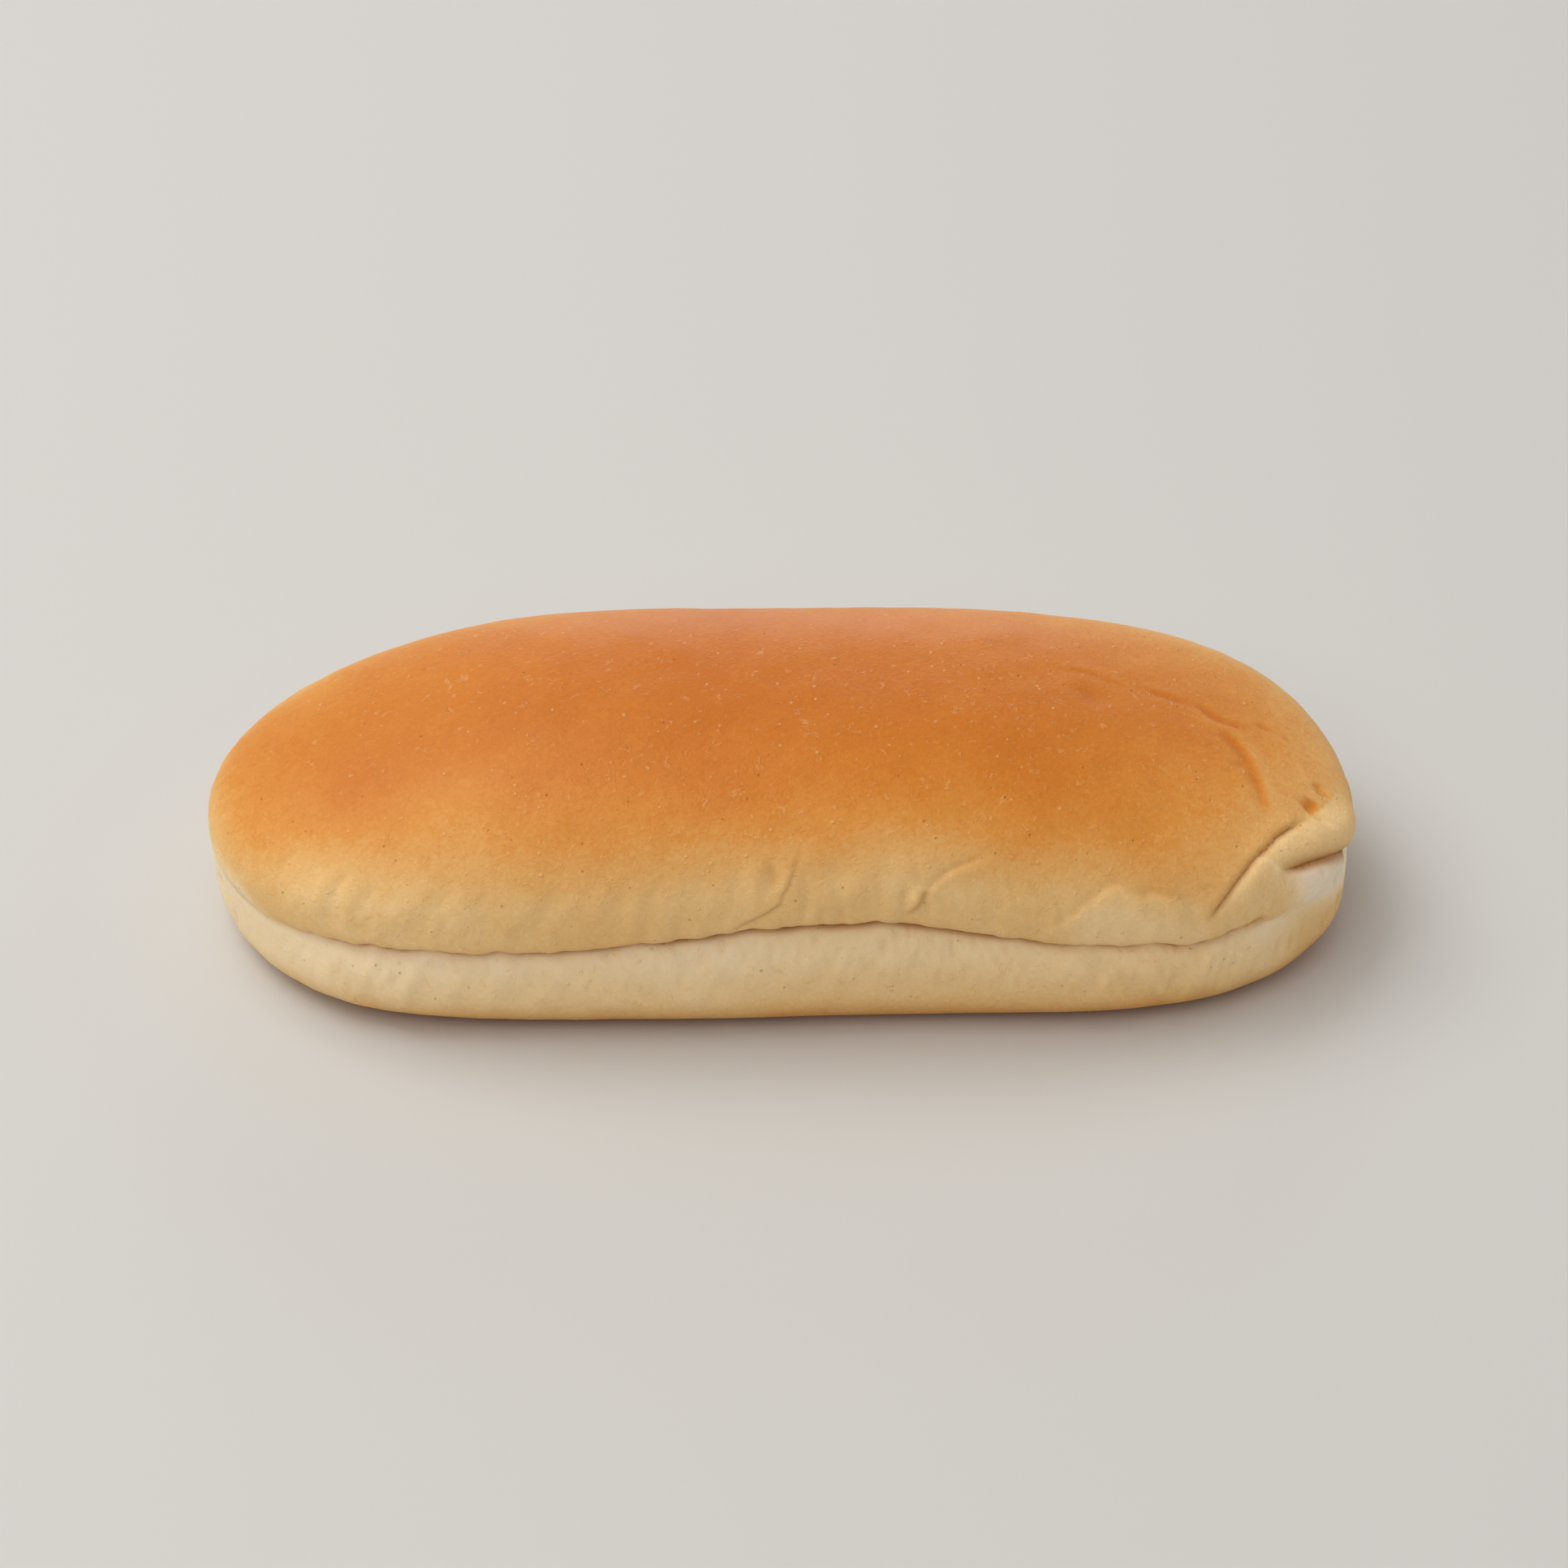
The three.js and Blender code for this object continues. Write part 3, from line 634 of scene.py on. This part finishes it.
# Unevenness in space, the same from every side
def crown_relief(points):
    height, wave_length, count, seed = CROWN_WAVES
    chance = np.random.default_rng(seed)
    ways = chance.normal(size=(count, 3))
    ways *= (chance.uniform(*CROWN_SPREAD, count) / wave_length / np.linalg.norm(ways, axis=1))[:, None]
    wave = np.sin(2 * np.pi * (points @ ways.T + chance.random(count))).sum(axis=1)
    return height * wave / math.sqrt(count / 2)


def swell_relief(points):
    x, y, z = points.T
    lift = np.zeros(len(points))
    for height, wx, wy, wz, along, across in SWELLS:
        wave = np.sin(2 * np.pi * x / wx + along)
        lift += height * wave * np.sin(2 * np.pi * (y / wy + z / wz) + across)
    return lift


# The finished skin in millimetres, with each point's place on it, depth of fold and the painted shade and
# sheen of the crown's wrinkles
def raised_skin(rings, holds, run, around_length):
    around = unit(np.roll(rings, -1, axis=1) - np.roll(rings, 1, axis=1))
    climb = unit(np.gradient(rings, axis=0))
    normal = unit(np.cross(around, climb))
    points = rings.reshape(-1, 3)
    places = np.stack([np.tile(run, len(rings)), skin_lengths(rings).ravel()], axis=-1)
    lift, slide, crease = fold_relief(places, FOLDS)
    crown = np.nonzero(points[:, 2] > WRINKLES_ABOVE)[0]
    wrinkle_lift, _, wrinkle_crease = fold_relief(points[crown, :2], WRINKLES)
    lift[crown] += wrinkle_lift
    wrinkle_shading = np.zeros(len(points))
    # Painted shade browns the wrinkles' hollows, and painted sheen makes their ridges paler
    wrinkle_shading[crown] = wrinkle_crease - RIDGE_SHEEN * np.maximum(wrinkle_lift, 0.0)
    ends = smooth(ENDS_FROM, ENDS_TO, np.abs(points[:, 0]))
    lift += dent_relief(places) + ripple_relief(places, around_length, ends)
    lift += crown_relief(points) + swell_relief(points)
    hold = holds.ravel() * smooth(0.0, SOLE_EASE, points[:, 2])
    moved = points + normal.reshape(-1, 3) * (lift * hold)[:, None]
    moved += around.reshape(-1, 3) * (slide[:, 0] * hold)[:, None]
    moved += climb.reshape(-1, 3) * (slide[:, 1] * hold)[:, None]
    return moved, places, crease, wrinkle_shading


# Triangles across a ring, between its front half and its back half
def bridge(ring, front_count, x):
    front = list(ring[:front_count + 1])
    back = [ring[0]] + list(ring[front_count:])[::-1]
    faces = []
    i = j = 0
    while i + 1 < len(front) or j + 1 < len(back):
        next_front = x[front[i + 1]] if i + 1 < len(front) else math.inf
        next_back = x[back[j + 1]] if j + 1 < len(back) else math.inf
        if next_front <= next_back:
            face = (front[i], front[i + 1], back[j])
            i += 1
        else:
            face = (front[i], back[j + 1], back[j])
            j += 1
        if len(set(face)) == 3:
            faces.append(face)
    return faces


# Faces of the skin, closed over the crown, and faces of the sole
def roll_faces(rows, cols, front_count, points):
    i = np.arange(cols)
    k = (i + 1) % cols
    quads = []
    for j in range(rows - 1):
        quads.append(np.stack([j * cols + i, j * cols + k, (j + 1) * cols + k, (j + 1) * cols + i], axis=-1))
    faces = np.concatenate(quads).tolist()
    sole = bridge(range(cols), front_count, points[:, 0])
    crown = bridge(range((rows - 1) * cols, rows * cols), front_count, points[:, 0])
    return faces + crown, [face[::-1] for face in sole]


def crust_bake(points, run):
    x, z = points[:, 0], points[:, 2]
    low = fold_level(run) + BROWN_RISE - BROWN_DIP_DROP * uneven_bell(run, *BROWN_DIP)
    for *span, drop in BROWN_DROPS:
        low -= drop * within(run, span)
    crust = CRUST_START + CRUST_GAIN * np.clip((z - low) / (HEIGHT - low), 0.0, 1.0) ** CRUST_CURVE
    sunk = LEFT_TIP_SINK * smooth(*LEFT_TIP, x)
    for gain, sides, heights in CROWN_TINTS:
        crust += gain * smooth(*sides, x) * smooth(*heights, z + sunk)
    return np.clip(crust, CRUST_LEAST, 1.0)


# Palest high on the lip and browner low down: partly real baking by the sole, partly painted highlight up
# high and painted shade low down, which make the lip look round
def lip_bake_and_shade(points, run):
    left = smooth(*LIP_LEFT, points[:, 0])
    lip = LIP_PALEST + LIP_MIDDLE_GAIN * within(run, LIP_MIDDLE)
    for gain, left_loss, heights in LIP_BAKE_AND_SHADE:
        lip += (gain - left_loss * left) * smooth(*heights, points[:, 2])
    return lip


# Nothing on the lip and one on the dome
def dome_share(run, length):
    rise = LEFT_EDGE_RISE * uneven_bell(run, *LEFT_EDGE)
    soft = LEFT_EDGE_SOFT * smooth(*LEFT_EDGE_SPAN, run)
    return smooth(rise - EDGE_BELOW, rise + EDGE_ABOVE + soft, length)


# Changes crust, lip and dome in place, where the right end is folded
def bake_right_end(places, crust, lip, dome):
    first, last = RIGHT_END
    near = np.nonzero((places[:, 0] > first) & (places[:, 0] < last) & (places[:, 1] < RIGHT_END_TOP))[0]
    run, length = places[near].T
    fold_side, along, _ = from_path(places[near], smooth_path(END_FOLD))
    flap_side, _, _ = from_path(places[near], smooth_path(FLAP))
    crease_side, _, _ = from_path(places[near], smooth_path(END_CREASE))
    soft = TONGUE_SOFT + TONGUE_TAIL_SOFT * smooth(*TONGUE_TAIL, along)
    tongue = smooth(soft, -soft, fold_side) * within(run, TONGUE_SPAN)
    crust[near] += (TONGUE_BAKE - crust[near]) * tongue
    lobe = smooth(*LOBE_EDGE, flap_side) * within(run, LOBE_SPAN) * smooth(*LOBE_TOP, length)
    crust[near] -= LOBE_PALER * lobe
    cheek = within(run, CHEEK_SPAN)
    dome[near] *= 1.0 - cheek * smooth(*CHEEK_EDGE, crease_side)
    lip[near] -= CHEEK_PALER * cheek * smooth(*CHEEK_PALE_BAND, crease_side)
    lip[near] += CHEEK_BROWNER * cheek * smooth(*CHEEK_BROWN_BAND, crease_side)


# How far each place is baked, from nothing on the palest lip to one on the deep brown crown; on the lip this
# also holds painted highlight and shade
def browning(points, places):
    run, length = places.T
    crust = crust_bake(points, run)
    lip = lip_bake_and_shade(points, run)
    dome = dome_share(run, length)
    bake_right_end(places, crust, lip, dome)
    return lip + (crust - lip) * dome


def make_roll():
    turn, table = table_run()
    run, front_count = column_runs(table)
    rings, holds = skin_rings(np.interp(run, table, turn), run)
    points, places, crease, wrinkle_shading = raised_skin(rings, holds, run, table[-1] - table[0])
    # Browning, with the painted shade and sheen of the crown's wrinkles added to it
    bake = browning(points, places) + WRINKLE_SHADE_AND_SHEEN * wrinkle_shading
    # Painted shade: a mask of how far a place is tucked into the side fold or cut by a fold's crease
    tuck = np.maximum(smooth(FOLD_SHADE_FROM, FOLD_SHADE_TO, 1.0 - holds.ravel()), crease)
    middle = (points.min(0) + points.max(0)) / 2
    points = points - [middle[0], middle[1], points[:, 2].min()]
    rows, cols = holds.shape
    skin, sole = roll_faces(rows, cols, front_count, points)
    mesh = bpy.data.meshes.new("roll_skin")
    mesh.from_pydata((points * MM).tolist(), [], skin + sole)
    mesh.polygons.foreach_set("use_smooth", [True] * len(mesh.polygons))
    mesh.polygons.foreach_set("material_index", [0] * len(skin) + [1] * len(sole))
    mesh.attributes.new("bake", "FLOAT", "POINT").data.foreach_set("value", bake)
    mesh.attributes.new("tuck", "FLOAT", "POINT").data.foreach_set("value", np.minimum(tuck, 1.0))
    mesh.materials.append(crust_material())
    mesh.materials.append(sole_material())
    mesh.update()
    roll = bpy.data.objects.new("roll_skin", mesh)
    bpy.context.scene.collection.objects.link(roll)
    return roll


# Colour as a screen shows it, turned into the linear light that shaders take
def tone(red, green, blue):
    parts = [c / 255.0 for c in (red, green, blue)]
    return tuple(c / 12.92 if c < 0.04045 else ((c + 0.055) / 1.055) ** 2.4 for c in parts) + (1.0,)


# A node's inputs: a value is put on its socket, and an output of another node is linked to it
def feed(tree, node, inputs):
    for name, value in inputs.items():
        if isinstance(value, bpy.types.NodeSocket):
            tree.links.new(value, node.inputs[name])
        else:
            node.inputs[name].default_value = value


def add_node(tree, kind, inputs=None, **settings):
    made = tree.nodes.new(kind)
    for name, value in settings.items():
        setattr(made, name, value)
    feed(tree, made, inputs or {})
    return made


def math_node(tree, operation, first, second=0.0, third=0.0):
    inputs = {0: first, 1: second, 2: third}
    return add_node(tree, "ShaderNodeMath", inputs, operation=operation).outputs[0]


def fit_range(tree, value, low, high, to_low=0.0, to_high=1.0):
    inputs = {"Value": value, "From Min": low, "From Max": high, "To Min": to_low, "To Max": to_high}
    return add_node(tree, "ShaderNodeMapRange", inputs, interpolation_type="SMOOTHSTEP").outputs["Result"]


def noise(tree, vector, scale, detail=2.0, distortion=0.0):
    inputs = {"Vector": vector, "Scale": scale, "Detail": detail, "Distortion": distortion}
    return add_node(tree, "ShaderNodeTexNoise", inputs).outputs["Fac"]


# Noise that goes as far below nothing as above it
def even_noise(tree, vector, scale, detail, distortion):
    return math_node(tree, "SUBTRACT", noise(tree, vector, scale, detail, distortion), 0.5)


# The mix node has sockets for every kind of data, and these numbers are its colour ones
def mix_colour(tree, share, first, second):
    return add_node(tree, "ShaderNodeMix", {0: share, 6: first, 7: second}, data_type="RGBA").outputs[2]


def new_group(name, inputs, outputs):
    tree = bpy.data.node_groups.new(name, "ShaderNodeTree")
    for label, kind in inputs.items():
        tree.interface.new_socket(label, in_out="INPUT", socket_type=kind)
    for label, kind in outputs.items():
        tree.interface.new_socket(label, in_out="OUTPUT", socket_type=kind)
    return tree, add_node(tree, "NodeGroupInput").outputs, add_node(tree, "NodeGroupOutput")


def use_group(tree, name, inputs):
    return add_node(tree, "ShaderNodeGroup", inputs, node_tree=bpy.data.node_groups[name]).outputs


# Baked colour: a share of browning, mottled, to a colour from pale dough to deep brown
def baked_colour_group():
    tree, into, out = new_group(
        "baked_colour",
        {"Vector": "NodeSocketVector", "Bake": "NodeSocketFloat", "Blotch": "NodeSocketFloat"},
        {"Color": "NodeSocketColor", "Bake": "NodeSocketFloat"})
    mottle = 0.0
    for scale, detail, distortion, share in MOTTLES:
        mottle = math_node(
            tree, "MULTIPLY_ADD", even_noise(tree, into["Vector"], scale, detail, distortion), share, mottle)
    depth = fit_range(tree, into["Bake"], *MOTTLE_BAKE, *MOTTLE_SHARES)
    depth = math_node(tree, "MULTIPLY", depth, into["Blotch"])
    bake = math_node(tree, "MULTIPLY_ADD", mottle, depth, into["Bake"])
    ramp = add_node(tree, "ShaderNodeValToRGB", {"Fac": bake})
    stops = ramp.color_ramp.elements
    while len(stops) < len(BAKE_TONES):
        stops.new(0.5)
    for stop, (at, colour) in zip(stops, BAKE_TONES):
        stop.position = at
        stop.color = tone(*colour)
    feed(tree, out, {"Color": ramp.outputs["Color"], "Bake": bake})


# Round spots of many sizes, scattered one to a cell
def spots(tree, vector, scale, radius, bare):
    cells = add_node(tree, "ShaderNodeTexVoronoi", {"Vector": vector, "Scale": scale})
    pick = add_node(tree, "ShaderNodeSeparateColor", {"Color": cells.outputs["Color"]}).outputs["Red"]
    size = fit_range(tree, pick, bare, 1.0, 0.0, radius)
    inside = math_node(tree, "SUBTRACT", size, cells.outputs["Distance"])
    return fit_range(tree, inside, 0.0, SPOT_EDGE * radius)


# Skin detail: blisters, pin holes and short fibres as masks, which carry painted highlights and painted
# shade, and one height with grain
def skin_detail_group():
    tree, into, out = new_group(
        "skin_detail",
        {"Vector": "NodeSocketVector"},
        dict.fromkeys(("Blisters", "Holes", "Fibres", "Height"), "NodeSocketFloat"))
    vector = into["Vector"]
    blisters = spots(tree, vector, *BLISTER_SPOTS)
    holes = spots(tree, vector, *HOLE_SPOTS)
    worms = math_node(tree, "ABSOLUTE", even_noise(tree, vector, FIBRE_SCALE, 1.0, FIBRE_TWIST))
    patch = fit_range(tree, noise(tree, vector, PATCH_SCALE, 1.0), *PATCH_RANGE)
    fibres = math_node(tree, "MULTIPLY", fit_range(tree, worms, FIBRE_WIDTH, 0.0), patch)
    height = math_node(tree, "MULTIPLY", noise(tree, vector, GRAIN_SCALE, 2.0, 1.0), GRAIN_RISE)
    for mask, rise in ((blisters, BLISTER_RISE), (fibres, FIBRE_RISE), (holes, HOLE_RISE)):
        height = math_node(tree, "MULTIPLY_ADD", mask, rise, height)
    feed(tree, out, {"Blisters": blisters, "Holes": holes, "Fibres": fibres, "Height": height})


def bread_material(name):
    mat = bpy.data.materials.new(name)
    mat.use_nodes = True
    tree = mat.node_tree
    vector = add_node(tree, "ShaderNodeTexCoord").outputs["Object"]
    return mat, tree, tree.nodes["Principled BSDF"], vector


# Paints the skin's spots over a colour: highlights on blisters and fibres, shade in pin holes
def paint_spot_light_and_shade(tree, colour, detail, spot_paints):
    for mask, share, spot_tone in spot_paints:
        colour = mix_colour(tree, math_node(tree, "MULTIPLY", detail[mask], share), colour, tone(*spot_tone))
    return colour


def skin_bump(tree, detail, strength):
    inputs = {"Height": detail["Height"], "Strength": strength, "Distance": BUMP_METRES}
    return add_node(tree, "ShaderNodeBump", inputs).outputs["Normal"]


def crust_material():
    mat, tree, shader, vector = bread_material("browned_crust")
    bake = add_node(tree, "ShaderNodeAttribute", attribute_name="bake").outputs["Fac"]
    tuck = add_node(tree, "ShaderNodeAttribute", attribute_name="tuck").outputs["Fac"]
    baked = use_group(tree, "baked_colour", {"Vector": vector, "Bake": bake, "Blotch": CRUST_BLOTCH})
    detail = use_group(tree, "skin_detail", {"Vector": vector})
    colour = paint_spot_light_and_shade(tree, baked["Color"], detail, CRUST_GLINTS_AND_PIT_SHADE)
    # Painted shade in the folds and creases, mixed in by the tuck mask
    colour = mix_colour(tree, math_node(tree, "MULTIPLY", tuck, FOLD_SHADE_SHARE), colour, tone(*FOLD_SHADE_TONE))
    feed(tree, shader, {
        "Base Color": colour,
        "Roughness": fit_range(tree, baked["Bake"], *GLOSS_BAKE, *CRUST_ROUGHNESS),
        "Normal": skin_bump(tree, detail, CRUST_BUMP),
        **CRUST_FINISH,
    })
    return mat


def sole_material():
    mat, tree, shader, vector = bread_material("baked_sole")
    baked = use_group(tree, "baked_colour", {"Vector": vector, "Bake": SOLE_BAKE, "Blotch": SOLE_BLOTCH})
    detail = use_group(tree, "skin_detail", {"Vector": vector})
    colour = mix_colour(tree, SOLE_SCORCH, baked["Color"], tone(*SCORCH_TONE))
    feed(tree, shader, {
        "Base Color": paint_spot_light_and_shade(tree, colour, detail, SOLE_PIT_SHADE),
        "Roughness": SOLE_ROUGHNESS,
        "Normal": skin_bump(tree, detail, SOLE_BUMP),
    })
    return mat


def make_floor():
    low, high = -FLOOR_HALF, FLOOR_HALF
    corners = [(low, low, 0), (high, low, 0), (high, high, 0), (low, high, 0)]
    mesh = bpy.data.meshes.new("floor")
    mesh.from_pydata(corners, [], [(0, 1, 2, 3)])
    mat = bpy.data.materials.new("pale_floor")
    mat.use_nodes = True
    shader = mat.node_tree.nodes["Principled BSDF"]
    feed(mat.node_tree, shader, {"Base Color": FLOOR_COLOUR, "Roughness": FLOOR_ROUGHNESS})
    mesh.materials.append(mat)
    floor = bpy.data.objects.new("floor", mesh)
    bpy.context.scene.collection.objects.link(floor)
    return floor


def soft_light(name, place, aim, size, energy, colour):
    data = bpy.data.lights.new(name, "AREA")
    data.size = size
    data.energy = energy
    data.color = colour
    light = bpy.data.objects.new(name, data)
    light.location = place
    light.rotation_euler = (Vector(aim) - Vector(place)).to_track_quat("-Z", "Y").to_euler()
    bpy.context.scene.collection.objects.link(light)


def make_lights():
    for softbox in SOFTBOXES:
        soft_light(*softbox)
    world = bpy.data.worlds.new("studio")
    world.use_nodes = True
    background = world.node_tree.nodes["Background"]
    feed(world.node_tree, background, {"Color": STUDIO_COLOUR, "Strength": STUDIO_STRENGTH})
    bpy.context.scene.world = world
    bpy.context.scene.view_settings.view_transform = "Standard"


# Stands back until the roll is as large as in the photograph, then moves aside to its place in the frame
def make_camera():
    data = bpy.data.cameras.new("camera")
    data.sensor_width = SENSOR_MM
    data.lens = FOCAL_PX / FRAME_PX * SENSOR_MM
    data.clip_start = CLIP_START
    camera = bpy.data.objects.new("camera", data)
    turn, tilt = math.radians(CAMERA_AZIMUTH), math.radians(CAMERA_ELEVATION)
    back = Vector((math.sin(turn) * math.cos(tilt), -math.cos(turn) * math.cos(tilt), math.sin(tilt)))
    right = Vector((math.cos(turn), math.sin(turn), 0.0))
    up = back.cross(right)
    distance = FOCAL_PX / PX_PER_MM
    aside = (BASE_PX[0] - FRAME_PX / 2) / PX_PER_MM
    below = (BASE_PX[1] - FRAME_PX / 2) / PX_PER_MM
    pose = Matrix((right, up, back)).transposed().to_4x4()
    pose.translation = (back * distance - right * aside + up * below) * MM
    camera.matrix_world = pose
    bpy.context.scene.collection.objects.link(camera)
    bpy.context.scene.camera = camera


baked_colour_group()
skin_detail_group()
roll = make_roll()
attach(roll, "root")
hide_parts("roll")
make_floor()
make_lights()
make_camera()
